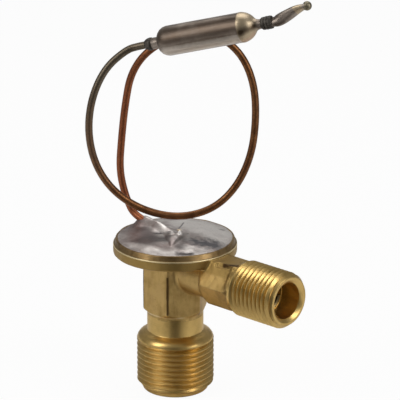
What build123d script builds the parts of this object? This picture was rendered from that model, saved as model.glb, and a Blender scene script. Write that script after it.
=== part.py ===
from build123d import *
import os
from math import cos, radians, sin, sqrt, tan

# Thermostatic expansion valve, angle pattern: a forged brass body with a male outlet below, a male
# inlet branch to the side, a diaphragm head on top and a sensing bulb on a capillary tube.
# Millimetres. +Z runs up the valve axis, +X along the inlet branch, and the origin is the centre of
# the outlet's end face.

# ---- driving dimensions: forged body -------------------------------------------------------------
outlet_thread_d = 22.0        # M22 x 1.5, crest diameter
outlet_lip_d = 18.8           # turned end lip below the thread
outlet_lip_h = 1.1
outlet_lead_top = 2.3         # end of the lead chamfer
outlet_thread_top = 15.3
shoulder_h = 2.4              # rounded shoulder between the thread and the neck
neck_d = 16.1
trunk_base = 23.6             # where the turned neck runs into the hexagon
trunk_af = 16.6               # hexagon across flats
trunk_edge_r = 0.5
flange_base = 41.0
flange_h = 3.0
flange_d = 35.2
flange_edge_r = 0.7
rim_wall = 0.75               # wall spun in over the edge of the cover
rim_h = 1.45
rim_lean = 0.35
branch_drop = 4.0             # inlet axis below the flange's underside
branch_neck_d = 12.6          # round root of the boss
branch_af = 13.0              # hexagonal boss of the inlet
branch_hex_start = 14.8
branch_hex_lead = 1.4         # how far the hexagon's corners rise out of the root, and fall off at its end
branch_hex_end = 26.4
forged_root_r = 1.2           # radius under the flange and round the root of the boss
branch_relief_d = 14.0
branch_relief_w = 0.8
inlet_thread_d = 16.0         # M16 x 1.5, crest diameter
inlet_lead = 0.7
inlet_end = 43.2              # inlet mouth, from the valve axis
inlet_chamfer_r = 1.1
inlet_chamfer_l = 1.4
lap_mark_l = 5.6              # shallow fold that the forging leaves on the boss's upper edge
lap_mark_w = 1.3
lap_mark_x = 22.3

# ---- driving dimensions: passages ----------------------------------------------------------------
inlet_bore_d = 10.3
inlet_bore_end = 36.0
inlet_sink_d = 12.4           # countersunk seat for the pipe's seal
inlet_sink_l = 0.8
strainer_bore_d = 9.8
strainer_bore_end = 12.0
cross_hole_d = 3.0
chamber_d = 4.8
chamber_drop = 7.4            # shelf over the seat, below the inlet axis
outlet_entry_d = 16.6
outlet_entry_l = 2.4
outlet_bore_d = 16.0
outlet_bore_top = 13.5
spring_bore_d = 10.8
equaliser_d = 1.0
equaliser_x = -4.75
pad_cavity_d = 14.8
pad_cavity_lift = 0.2         # its floor above the flange's underside
pad_cavity_h = 2.0

# ---- driving dimensions: inner pieces ------------------------------------------------------------
running_gap = 0.05            # radial, rod in its guide and nut in its thread
slide_gap = 0.15              # radial, carrier in the spring bore
fit_gap = 0.02                # radial, pieces pressed or soldered in
seat_d = 7.6
seat_h = 3.0
orifice_d = 2.8
ball_d = 4.0
ball_lift_gap = 0.05          # ball off its seat edge when shut
rod_d = 2.0
guide_d = 6.4
guide_h = 3.0
seal_section = 1.0
retainer_h = 0.6
pad_d = 14.0
pad_h = 1.2
pad_socket = 0.6
pad_gap = 0.05
stroke = 0.6
carrier_h = 2.6
carrier_spigot_l = 1.6
carrier_flat = 4.2            # distance of the three flow flats from the axis
clip_t = 0.3
spring_wire_d = 1.0
spring_mean_d = 7.8
spring_turns = 5.5
nut_base = 2.6
nut_h = 4.0
nut_hex_af = 8.0
nut_recess = 0.8
diaphragm_edge_gap = 0.15
diaphragm_t = 0.15
corrugation_radii = (9.8, 7.8)
corrugation_w = 1.2
corrugation_h = 0.25
cover_t = 0.9
cover_dome_h = 0.9
cover_dome_slope = 1.2        # radial run of its flank
cover_dome_inset = 3.95       # from the cover's edge to the foot of its dome
cover_hole_d = 1.6

# ---- driving dimensions: strainer ----------------------------------------------------------------
strainer_collar_x = 33.0
strainer_collar_l = 2.0
strainer_collar_id = 7.4
strainer_mesh_od = 7.8
strainer_mesh_t = 0.25
strainer_tip_x = 15.5
strainer_cap_l = 1.0
strainer_rib_w = 1.2
clip_ring_w = 0.8
clip_ring_t = 0.9

# ---- driving dimensions: capillary tube, bulb and fill tube --------------------------------------
tube_d = 2.1
tube_bore_d = 0.8
tube_rise = 1.95              # centre line of the tube above the rim, where it lies on the cover
tube_inner_x = -1.0           # end of the tube, over the hole in the cover
tube_edge_gap = 0.85          # from the cover's edge to where the tube bends up
solder_edge_h = 0.15
solder_crown_h = 0.7
ridge_r = 2.0
ridge_drop = 0.9              # its axis below the tube's
ridge_x = -2.2
ridge_edge_gap = 3.25         # from the cover's edge to the ridge's outer end
mound_r = 4.3
mound_drop = 2.6
mound_edge_gap = 3.85         # from the cover's edge to the mound's middle
bulb_d = 8.4
bulb_length = 22.8            # straight part of the shell
bulb_offset = (0.9, -3.3, 56.7)      # start of its straight part, from the tube's height on the valve axis
bulb_azimuth = 23.0
bulb_rise = 15.3
bulb_shoulder = 2.7
bulb_neck_d = 3.3
bulb_neck_l = 2.6
bulb_socket = 2.4             # how far the tube reaches into the neck
dome_l = 3.6
dome_neck_d = 2.7
dome_neck_l = 2.9
collar_d = 3.7
collar_l = 3.2
collar_overlap = 1.1          # how far the crimp grips the bulb's tail
collar_groove = 0.22
fill_d = 2.1
fill_socket = 1.5
fill_bend_l = 1.5             # straight run out of the crimp
fill_flat_w = 2.7
fill_flat_h = 1.55
bead_d = 2.6

# The tube's bends, as the corners of its route from the cover to the bulb: x, y and height above
# the tube's lie on the cover
tube_route = [
    (-18.6, -1.0, 6.1), (-20.0, -2.0, 14.1), (-19.5, -1.5, 23.6), (-18.5, -1.0, 33.6),
    (-16.5, -0.5, 43.6), (-11.5, 2.0, 51.1), (-4.0, 7.5, 55.6), (4.0, 13.5, 55.6),
    (9.5, 17.5, 50.1), (12.5, 19.5, 41.1), (13.5, 19.0, 30.6), (13.0, 17.5, 20.6),
    (10.5, 14.0, 11.6), (6.5, 8.5, 5.6), (0.5, 1.0, 3.6), (-6.0, -6.5, 6.1),
    (-11.5, -12.5, 11.6), (-15.0, -16.5, 19.6), (-16.0, -18.5, 29.6), (-15.5, -17.5, 39.6),
    (-13.5, -14.0, 48.1), (-10.0, -9.0, 53.1),
]
# Corners of the fill tube from the crimp to its sealed tip
fill_route = [(32.4, 10.05, 67.0), (35.9, 11.6, 69.75), (37.8, 12.4, 70.4)]

# ---- sizes that follow from the above ------------------------------------------------------------
outlet_r = outlet_thread_d / 2
branch_z = flange_base - branch_drop
chamber_base = branch_z - chamber_drop
pad_cavity_floor = flange_base + pad_cavity_lift
diaphragm_seat = pad_cavity_floor + pad_cavity_h
flange_top = flange_base + flange_h
flange_r = flange_d / 2
rim_outer_r = flange_r - 0.4
cover_r = rim_outer_r - rim_wall
rim_top = flange_top + rim_h
seat_base = chamber_base - seat_h
orifice_r = orifice_d / 2
ball_r = ball_d / 2
ball_z = seat_base - sqrt((ball_r + ball_lift_gap) ** 2 - orifice_r**2)
guide_base = pad_cavity_floor - guide_h
seal_r = rod_d / 2 + running_gap + seal_section / 2
seal_z = pad_cavity_floor - retainer_h - seal_section / 2
pad_top = diaphragm_seat - pad_gap
pad_base = pad_top - pad_h
carrier_r = spring_bore_d / 2 - slide_gap
carrier_top = ball_z - 0.25 * ball_r
carrier_base = carrier_top - carrier_h
spring_top = carrier_base - clip_t
spring_base = nut_base + nut_h - nut_recess
diaphragm_r = cover_r - diaphragm_edge_gap
cover_dome_r = cover_r - cover_dome_inset
ridge_l = cover_r - ridge_edge_gap + ridge_x
mound_x = mound_edge_gap - cover_r
tube_leaves_x = tube_edge_gap - cover_r
cover_base = diaphragm_seat + diaphragm_t
tube_height = rim_top + tube_rise
bulb_r = bulb_d / 2
bulb_start = Vector(*bulb_offset) + Vector(0, 0, tube_height)
bulb_axis = Vector(
    cos(radians(bulb_rise)) * cos(radians(bulb_azimuth)),
    cos(radians(bulb_rise)) * sin(radians(bulb_azimuth)),
    sin(radians(bulb_rise)),
)
bulb_plane = Plane(origin=bulb_start, x_dir=(-sin(radians(bulb_azimuth)), cos(radians(bulb_azimuth)), 0),
                   z_dir=bulb_axis)
collar_start = bulb_length + dome_l + dome_neck_l - collar_overlap
collar_end = collar_start + collar_l
fill_start = bulb_length + dome_l + dome_neck_l - fill_socket


# ---- helpers --------------------------------------------------------------------------------------
def turned(points):
    """A solid of revolution about Z from (radius, height) corners."""
    return revolve(Plane.XZ * make_face(Polyline(*points, close=True)), Axis.Z)


def along_branch(shape):
    """Lay a shape that is drawn about Z along the inlet branch."""
    return Pos(0, 0, branch_z) * Rot(0, 90, 0) * shape


def ring(outer_d, inner_d, base, height):
    """A plain ring about Z."""
    return Pos(0, 0, base) * extrude(Circle(outer_d / 2) - Circle(inner_d / 2), height)


def rod(diameter, base, top):
    """A plain cylinder about Z between two heights."""
    return Pos(0, 0, base) * extrude(Circle(diameter / 2), top - base)


def hexagon(across_flats):
    """A hexagon with corners on its own X axis."""
    return RegularPolygon(across_flats / 2, 6, major_radius=False)


def tangent_path(points):
    """Straight runs joined by tangent arcs, each as large as its two runs allow."""
    corners = [Vector(*p) for p in points]
    radii = []
    for before, corner, after in zip(corners, corners[1:], corners[2:]):
        arriving, leaving = corner - before, after - corner
        half_turn = radians(arriving.get_angle(leaving) / 2)
        radii.append(0.45 * min(arriving.length, leaving.length) / tan(half_turn))
    print("bend radii:", " ".join(f"{r:.1f}" for r in radii))
    return FilletPolyline(*corners, radius=radii)


# ---- forged body ----------------------------------------------------------------------------------
def outlet_form():
    """Outlet thread blank, rounded shoulder and turned neck."""
    neck_r, shoulder_top = neck_d / 2, outlet_thread_top + shoulder_h
    bulge = sqrt(0.5)
    crest = (neck_r + bulge * (outlet_r - neck_r), outlet_thread_top + bulge * shoulder_h)
    profile = Polyline(
        (0, 0), (outlet_lip_d / 2 - 0.4, 0), (outlet_lip_d / 2, 0.4), (outlet_lip_d / 2, outlet_lip_h),
        (outlet_r, outlet_lead_top), (outlet_r, outlet_thread_top),
    )
    profile += ThreePointArc((outlet_r, outlet_thread_top), crest, (neck_r, shoulder_top))
    profile += Polyline((neck_r, shoulder_top), (neck_r, trunk_base + 1), (0, trunk_base + 1), (0, 0))
    return revolve(Plane.XZ * make_face(profile), Axis.Z)


def trunk_form():
    """Hexagonal trunk; its lower corners are turned away towards the neck."""
    prism = Pos(0, 0, trunk_base) * extrude(hexagon(trunk_af), flange_base + 1 - trunk_base)
    prism = fillet(prism.edges().filter_by(Axis.Z), trunk_edge_r)
    envelope = turned([
        (0, trunk_base), (neck_d / 2, trunk_base), (trunk_af / 2 + 0.2, trunk_base + 0.5),
        (trunk_af / 2 + 2, trunk_base + 1.9), (trunk_af / 2 + 2, flange_base + 1), (0, flange_base + 1),
    ])
    return prism & envelope


def flange_form():
    """Round diaphragm flange with its rim spun in over the cover."""
    disc = rod(flange_d, flange_base, flange_top)
    disc = fillet(disc.edges().sort_by(Axis.Z)[0], flange_edge_r)
    rim = turned([
        (0, flange_top), (rim_outer_r, flange_top), (rim_outer_r - rim_lean, rim_top), (0, rim_top),
    ])
    return disc + rim


def branch_form():
    """Round root, hexagonal boss and thread blank of the inlet."""
    neck_r, corner_r = branch_neck_d / 2, branch_af / 2 / cos(radians(30))
    relief_r, relief_end = branch_relief_d / 2, branch_hex_end + branch_relief_w
    boss = extrude(Rot(0, 0, 90) * hexagon(branch_af), branch_hex_end)
    boss = boss & turned([
        (0, branch_hex_start), (neck_r - 0.2, branch_hex_start), (corner_r, branch_hex_start + branch_hex_lead),
        (corner_r, branch_hex_end - branch_hex_lead), (relief_r, branch_hex_end), (0, branch_hex_end),
    ])
    thread_r = inlet_thread_d / 2
    blank = turned([
        (0, branch_hex_end - 1), (relief_r, branch_hex_end - 1), (relief_r, relief_end),
        (thread_r, relief_end + inlet_lead), (thread_r, inlet_end - inlet_chamfer_l),
        (thread_r - inlet_chamfer_r, inlet_end), (0, inlet_end),
    ])
    return along_branch(boss + blank)


def branch_root():
    """Round root of the boss, from the valve axis to the hexagon."""
    return along_branch(rod(branch_neck_d, 0, branch_hex_start + 1))


def root_edges(core):
    """Edges where the trunk runs into the flange, and the round root into the trunk."""
    trunk_reach = trunk_af / 2 / cos(radians(30)) + 0.5
    chosen = []
    for edge in core.edges():
        box = edge.bounding_box()
        under_flange = max(abs(box.min.Z - flange_base), abs(box.max.Z - flange_base)) < 0.01
        beside_boss = box.min.Z > branch_z - branch_neck_d / 2 - 0.01
        round_root = beside_boss and edge.geom_type in (GeomType.ELLIPSE, GeomType.BSPLINE)
        if round_root or (under_flange and box.max.X < trunk_reach and box.min.X > -trunk_reach):
            chosen.append(edge)
    return chosen


def lap_mark():
    """Shallow fold along the upper front edge of the inlet boss."""
    side = branch_af / 2 / sqrt(3)
    tool = Rot(0, 90, 0) * extrude(SlotOverall(lap_mark_w * 1.6, lap_mark_w), lap_mark_l)
    return Pos(lap_mark_x - lap_mark_l / 2, -side - 0.1, branch_z + branch_af / 2) * tool


def passages():
    """Everything that is bored out of the forging."""
    outlet = turned([
        (0, 0), (outlet_entry_d / 2, 0), (outlet_entry_d / 2, outlet_entry_l),
        (outlet_bore_d / 2, outlet_entry_l), (outlet_bore_d / 2, outlet_bore_top),
        (spring_bore_d / 2, outlet_bore_top + 1.2), (spring_bore_d / 2, seat_base), (0, seat_base),
    ])
    seat_pocket = rod(seat_d, seat_base, chamber_base)
    chamber = rod(chamber_d, chamber_base, guide_base)
    guide_pocket = rod(guide_d, guide_base, pad_cavity_floor)
    pad_cavity = rod(pad_cavity_d, pad_cavity_floor, diaphragm_seat)
    cover_recess = turned([
        (0, diaphragm_seat), (cover_r, diaphragm_seat), (cover_r, flange_top + 0.3),
        (cover_r - rim_lean, rim_top), (0, rim_top),
    ])
    equaliser = Pos(equaliser_x, 0, 0) * rod(equaliser_d, seat_base, pad_cavity_floor)
    entry_r, strainer_r = inlet_bore_d / 2, strainer_bore_d / 2
    inlet = along_branch(turned([
        (0, 0), (cross_hole_d / 2, 0), (cross_hole_d / 2, strainer_bore_end - 2),
        (strainer_r, strainer_bore_end), (strainer_r, inlet_bore_end), (entry_r, inlet_bore_end),
        (entry_r, inlet_end - inlet_sink_l), (inlet_sink_d / 2, inlet_end), (0, inlet_end),
    ]))
    return [outlet, seat_pocket, chamber, guide_pocket, pad_cavity, cover_recess, equaliser, inlet]


def valve_body():
    core = trunk_form() + flange_form() + branch_root()
    forging = fillet(root_edges(core), forged_root_r) + outlet_form() + branch_form()
    for cut in passages() + [lap_mark()]:
        forging = forging - cut
    return forging


# ---- head -----------------------------------------------------------------------------------------
def diaphragm():
    """Thin disc with two pressed corrugations."""
    waves = [(diaphragm_r, 0)]
    for crest in corrugation_radii:
        waves += [(crest + corrugation_w / 2, 0), (crest, corrugation_h), (crest - corrugation_w / 2, 0)]
    waves += [(0, 0)]
    lower = [(r, diaphragm_seat + h) for r, h in waves]
    upper = [(r, z + diaphragm_t) for r, z in reversed(lower)]
    return turned(lower + upper)


def head_cover():
    """Stamped dish that clamps the diaphragm's edge and closes the charge space."""
    r0, r1 = cover_dome_r, cover_dome_r - cover_dome_slope
    low, high = cover_base, cover_base + cover_dome_h
    hole_r = cover_hole_d / 2
    edge_r = cover_r - fit_gap
    return turned([
        (edge_r, low), (edge_r, low + cover_t), (r0, low + cover_t), (r1, high + cover_t),
        (hole_r, high + cover_t), (hole_r, high), (r1 - 0.6, high), (r0 - 0.6, low),
    ])


def cover_solder(tube):
    """Soft solder that floods the cover and buries the end of the tube in a ridge and a mound."""
    base = cover_base + cover_t
    crown = base + cover_dome_h
    r0, r1 = cover_dome_r, cover_dome_r - cover_dome_slope
    edge_r = cover_r - rim_lean - fit_gap
    coat = turned([
        (0, crown), (r1, crown), (r0, base), (cover_r - fit_gap, base), (cover_r - fit_gap, flange_top + 0.3),
        (edge_r, rim_top), (edge_r, rim_top + solder_edge_h), (0, crown + solder_crown_h),
    ])
    ridge_end = Pos(ridge_x, 0, tube_height - ridge_drop)
    ridge = ridge_end * (Rot(0, -90, 0) * extrude(Circle(ridge_r), ridge_l) + Sphere(ridge_r))
    mound = Pos(mound_x, 0, tube_height - mound_drop) * Sphere(mound_r)
    inside = turned([(0, crown), (edge_r, crown), (edge_r, crown + 8), (0, crown + 8)])
    return coat + ((ridge + mound) & inside) - tube


# ---- stem that the diaphragm pushes ---------------------------------------------------------------
def pressure_pad():
    pad = rod(pad_d, pad_base, pad_top)
    pad = chamfer(pad.edges().sort_by(Axis.Z)[0], 0.4)
    return pad - rod(rod_d, pad_base, pad_base + pad_socket)


def push_rod():
    return rod(rod_d, ball_z + ball_r, pad_base + pad_socket)


def valve_ball():
    return Pos(0, 0, ball_z) * Sphere(ball_r)


def ball_carrier():
    """Cupped disc with three flow flats, and a spigot that centres the spring."""
    disc = rod(2 * carrier_r, carrier_base, carrier_top)
    for angle in (90, 210, 330):
        flat = Rot(0, 0, angle) * Pos(carrier_flat + 5, 0, carrier_base + carrier_h / 2) * Box(10, 20, 10)
        disc = disc - flat
    spigot_d = spring_mean_d - spring_wire_d - 0.4
    spigot = rod(spigot_d, carrier_base - carrier_spigot_l, carrier_base)
    spigot = chamfer(spigot.edges().sort_by(Axis.Z)[0], 0.5)
    return disc + spigot - Pos(0, 0, ball_z) * Sphere(ball_r + fit_gap)


def damping_clip():
    """Spring-steel washer with three fingers that drag on the bore."""
    spigot_d = spring_mean_d - spring_wire_d - 0.4
    washer = Circle(spring_mean_d / 2 + spring_wire_d / 2) - Circle(spigot_d / 2 + running_gap)
    finger_r = spring_bore_d / 2 - 0.1
    fingers = [
        Rot(0, 0, angle) * Pos(finger_r / 2 + 1.9, 0) * Rectangle(finger_r - 3.8, 1.6) for angle in (30, 150, 270)
    ]
    for finger in fingers:
        washer = washer + finger
    plate = Pos(0, 0, spring_top) * extrude(washer, clip_t)
    return plate & rod(2 * finger_r, spring_top - 1, spring_top + 1)


def superheat_spring():
    """Closed coil with ends ground flat."""
    free = spring_top - spring_base
    pitch = free / spring_turns
    helix = Helix(pitch, free, spring_mean_d / 2)
    start = Plane(origin=helix @ 0, z_dir=helix % 0)
    coil = sweep(start * Circle(spring_wire_d / 2), path=helix)
    flush = rod(2 * spring_mean_d, 0, free)
    return Pos(0, 0, spring_base) * (coil & flush)


def adjusting_nut():
    """Threaded ring in the outlet; a hexagon key turns it and the vapour flows through the hexagon."""
    nut = rod(outlet_bore_d - 2 * running_gap, nut_base, nut_base + nut_h)
    nut = chamfer(nut.edges().filter_by(GeomType.CIRCLE), 0.4)
    socket = Pos(0, 0, nut_base) * extrude(hexagon(nut_hex_af), nut_h)
    recess = rod(spring_mean_d + spring_wire_d + 0.4, spring_base, nut_base + nut_h)
    return nut - socket - recess


# ---- fixed inner pieces ---------------------------------------------------------------------------
def seat_ring():
    """Hard orifice ring pressed up against the shelf of the body."""
    ring_r = seat_d / 2 - fit_gap
    return turned([
        (orifice_r, seat_base), (ring_r, seat_base), (ring_r, chamber_base), (orifice_r + 0.9, chamber_base),
        (orifice_r, chamber_base - 1.0),
    ])


def rod_guide():
    guide = ring(guide_d - 2 * fit_gap, rod_d + 2 * running_gap, guide_base, guide_h)
    seal_pocket = rod(2 * seal_r + seal_section, seal_z - seal_section / 2, pad_cavity_floor)
    return guide - seal_pocket


def rod_seal():
    return Pos(0, 0, seal_z) * Torus(seal_r, seal_section / 2)


def seal_retainer():
    outer = 2 * seal_r + seal_section - 2 * fit_gap
    return ring(outer, rod_d + 2 * running_gap, pad_cavity_floor - retainer_h, retainer_h)


# ---- strainer -------------------------------------------------------------------------------------
def strainer_collar():
    """Pressed collar with three ribs that carry the gauze."""
    outer = strainer_bore_d - 2 * fit_gap
    collar = ring(outer, strainer_collar_id, strainer_collar_x, strainer_collar_l)
    for angle in (0, 120, 240):
        rib = Pos(strainer_mesh_od / 2 + 0.25, 0, (strainer_tip_x + strainer_collar_x) / 2)
        rib = Rot(0, 0, angle) * rib * Box(0.5, strainer_rib_w, strainer_collar_x - strainer_tip_x)
        collar = collar + rib
    return along_branch(collar)


def strainer_mesh():
    """Gauze sleeve; its weave is finer than the wall is thick."""
    inner = strainer_mesh_od - 2 * strainer_mesh_t
    length = strainer_collar_x - strainer_tip_x - strainer_cap_l
    return along_branch(ring(strainer_mesh_od, inner, strainer_tip_x + strainer_cap_l, length))


def strainer_cap():
    cap = rod(strainer_mesh_od, strainer_tip_x, strainer_tip_x + strainer_cap_l)
    return along_branch(chamfer(cap.edges().sort_by(Axis.Z)[0], 0.4))


def strainer_clip():
    """Split ring that snaps against the collar."""
    outer = strainer_bore_d - 2 * fit_gap
    clip = ring(outer, outer - 2 * clip_ring_t, strainer_collar_x + strainer_collar_l, clip_ring_w)
    gap = Pos(0, outer / 2, strainer_collar_x + strainer_collar_l) * Box(2.4, outer / 2, 4)
    return along_branch(clip - gap)


# ---- capillary tube, bulb and fill tube -----------------------------------------------------------
def above_cover(corners):
    """Move corners that are measured from the tube's lie on the cover to their place."""
    return [(x, y, tube_height + rise) for x, y, rise in corners]


def capillary_path():
    neck_end = bulb_start - bulb_axis * (bulb_shoulder + bulb_neck_l)
    lead_in = neck_end - bulb_axis * 4.0
    inside = neck_end + bulb_axis * bulb_socket
    on_cover = [(tube_inner_x, 0, tube_height), (tube_leaves_x, 0, tube_height)]
    return tangent_path(on_cover + above_cover(tube_route) + [tuple(lead_in), tuple(inside)])


def capillary_tube(path):
    start = Plane(origin=path @ 0, z_dir=path % 0)
    outer = sweep(start * Circle(tube_d / 2), path=path)
    bore = sweep(start * Circle(tube_bore_d / 2), path=path)
    return outer - bore


def bulb_shell():
    """Sealed bulb: spun shoulder and neck at the tube's end, domed end towards the fill tube."""
    r, neck_r, tail_r = bulb_r, bulb_neck_d / 2, dome_neck_d / 2
    neck_start = -bulb_shoulder - bulb_neck_l
    dome_end = bulb_length + dome_l
    tail_end = dome_end + dome_neck_l
    shoulder_edge = (0.64 * r, -bulb_shoulder)
    dome_edge = (0.62 * r, bulb_length + 0.8 * dome_l)
    profile = Polyline((0, neck_start), (neck_r, neck_start), (neck_r, -bulb_shoulder), shoulder_edge)
    profile += ThreePointArc(shoulder_edge, (0.893 * r, -0.61 * bulb_shoulder), (r, 0))
    profile += Line((r, 0), (r, bulb_length))
    profile += ThreePointArc((r, bulb_length), (0.893 * r, bulb_length + 0.47 * dome_l), dome_edge)
    profile += Polyline(dome_edge, (tail_r, dome_end), (tail_r, tail_end), (0, tail_end), (0, neck_start))
    shell = revolve(Plane.XZ * make_face(profile), Axis.Z)
    socket = rod(tube_d, neck_start, neck_start + bulb_socket)
    tail_socket = rod(fill_d, fill_start, tail_end)
    return bulb_plane * (shell - socket - tail_socket)


def bulb_neck_braze():
    """Ring of braze round the tube where it enters the bulb."""
    end = -bulb_shoulder - bulb_neck_l
    bead = turned([
        (tube_d / 2, end), (bulb_neck_d / 2 + 0.05, end), (bulb_neck_d / 2 + 0.05, end - 0.7),
        (tube_d / 2 + 0.35, end - 1.7), (tube_d / 2, end - 1.8),
    ])
    return bulb_plane * bead


def fill_collar():
    """Blackened crimp over the bulb's tail and the fill tube, with two rolled grooves."""
    r, inner, bottom = collar_d / 2, dome_neck_d / 2, collar_d / 2 - collar_groove
    tail_end = bulb_length + dome_l + dome_neck_l
    outline = [(0, inner), (0, r - 0.3), (0.12, r - 0.05), (0.3, r - 0.05), (0.36, bottom), (0.44, r), (0.6, r),
               (0.67, bottom), (0.76, r), (0.9, r), (1, r - 0.2), (1, fill_d / 2)]
    corners = [(radius, collar_start + share * collar_l) for share, radius in outline]
    return bulb_plane * turned(corners + [(fill_d / 2, tail_end), (inner, tail_end)])


def fill_path():
    start = bulb_start + bulb_axis * fill_start
    bend = bulb_start + bulb_axis * (collar_end + fill_bend_l)
    return tangent_path([tuple(start), tuple(bend)] + above_cover(fill_route))


def fill_tube(path):
    """Round inside the crimp, then pinched flat and twisted towards its sealed tip."""
    leaves_crimp = (collar_end - fill_start) / path.length
    half_w, half_h = (fill_d + fill_flat_w) / 2, (fill_d + fill_flat_h) / 2
    stations = [
        (0.0, fill_d, fill_d, 0), (0.28, half_w, half_h, 25), (0.5, fill_flat_w, fill_flat_h, 65),
        (0.74, fill_flat_w, fill_flat_h, 110), (1.0, half_w, half_h, 140),
    ]
    sections = []
    for share, width, height, twist in stations:
        place = leaves_crimp + share * (1 - leaves_crimp)
        tangent = path % place
        plane = Plane(origin=path @ place, x_dir=tangent.cross(Vector(0, 0, 1)), z_dir=tangent)
        sections.append(plane * Rot(0, 0, twist) * Ellipse(width / 2, height / 2))
    return bulb_plane * rod(fill_d, fill_start, collar_end) + loft(sections)


def fill_tube_bead(path, tube):
    """Drop of solder that seals the fill tube."""
    return Pos(*(path @ 1)) * Sphere(bead_d / 2) - tube


# ---- build ----------------------------------------------------------------------------------------
def build():
    capillary = capillary_tube(capillary_path())
    filling = fill_path()
    pinched = fill_tube(filling)
    return {
        "valve_body": valve_body(),
        "diaphragm": diaphragm(),
        "head_cover": head_cover(),
        "cover_solder": cover_solder(capillary),
        "pressure_pad": pressure_pad(),
        "push_rod": push_rod(),
        "valve_ball": valve_ball(),
        "ball_carrier": ball_carrier(),
        "damping_clip": damping_clip(),
        "superheat_spring": superheat_spring(),
        "adjusting_nut": adjusting_nut(),
        "seat_ring": seat_ring(),
        "rod_guide": rod_guide(),
        "rod_seal": rod_seal(),
        "seal_retainer": seal_retainer(),
        "strainer_collar": strainer_collar(),
        "strainer_mesh": strainer_mesh(),
        "strainer_cap": strainer_cap(),
        "strainer_clip": strainer_clip(),
        "capillary_tube": capillary,
        "bulb_shell": bulb_shell(),
        "bulb_neck_braze": bulb_neck_braze(),
        "fill_collar": fill_collar(),
        "fill_tube": pinched,
        "fill_tube_bead": fill_tube_bead(filling, pinched),
    }


os.makedirs("parts", exist_ok=True)
for name, solid in build().items():
    export_step(solid, f"parts/{name}.step")
    print(name, round(solid.volume, 2))
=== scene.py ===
"""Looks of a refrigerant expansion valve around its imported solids.

Lengths are written in millimetres and scaled by MM where they become coordinates.
+Z runs up the valve axis, +X along the inlet branch.
"""

import logging
import math
from dataclasses import dataclass, replace
from enum import Enum
from typing import Any, Callable, Iterable, Optional, Sequence, Union

import bmesh
import bpy
from mathutils import Matrix, Vector, noise


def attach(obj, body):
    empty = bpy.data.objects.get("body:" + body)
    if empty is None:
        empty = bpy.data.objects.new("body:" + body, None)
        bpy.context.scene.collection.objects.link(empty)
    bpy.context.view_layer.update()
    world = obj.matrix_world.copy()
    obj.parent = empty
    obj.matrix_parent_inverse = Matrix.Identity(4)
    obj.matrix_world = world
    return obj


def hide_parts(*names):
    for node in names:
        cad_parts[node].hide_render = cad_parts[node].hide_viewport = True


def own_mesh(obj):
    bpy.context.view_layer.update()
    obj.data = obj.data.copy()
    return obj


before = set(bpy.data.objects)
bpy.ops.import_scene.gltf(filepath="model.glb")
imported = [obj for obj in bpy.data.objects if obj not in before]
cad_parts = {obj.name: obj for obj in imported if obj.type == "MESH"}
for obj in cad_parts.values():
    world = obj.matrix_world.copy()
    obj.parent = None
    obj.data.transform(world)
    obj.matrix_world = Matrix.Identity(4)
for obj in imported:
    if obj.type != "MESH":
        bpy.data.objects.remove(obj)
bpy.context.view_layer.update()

LOG = logging.getLogger("valve")
BODY = "valve"
MM = 0.001
GAP = 1e-6
FULL_TURN = 2.0 * math.pi
WHITE = (1.0, 1.0, 1.0)
Material, Mesh, Object, Shell = bpy.types.Material, bpy.types.Mesh, bpy.types.Object, bmesh.types.BMesh
Span = tuple[float, float]
Outline = Sequence[Span]
Colour = tuple[float, float, float]
Spot = tuple[float, float, float]


class Lie(Enum):
    """Where a turned piece's free end is, and the direction that it is turned in from there."""

    UP_FROM_OUTLET = Matrix.Identity(4)
    IN_FROM_INLET = Matrix.Translation((43.2 * MM, 0, 37.0 * MM)) @ Matrix.Rotation(math.radians(-90), 4, "Y")


def bulb_axes(start: Spot, azimuth: float, rise: float) -> Matrix:
    """Frame whose Z runs along the bulb from the start of its straight part.

    Args:
        start: that place in millimetres.
        azimuth: its turn about Z in degrees.
        rise: its tilt above level in degrees.

    Returns:
        The frame.
    """
    turn, tilt = math.radians(azimuth), math.radians(rise)
    along = Vector((math.cos(tilt) * math.cos(turn), math.cos(tilt) * math.sin(turn), math.sin(tilt)))
    across = Vector((-math.sin(turn), math.cos(turn), 0.0))
    axes = Matrix((across, along.cross(across), along)).transposed().to_4x4()
    return Matrix.Translation(Vector(start) * MM) @ axes


BULB_AXES = bulb_axes(start=(0.9, -3.3, 104.1), azimuth=23.0, rise=15.3)


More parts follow.
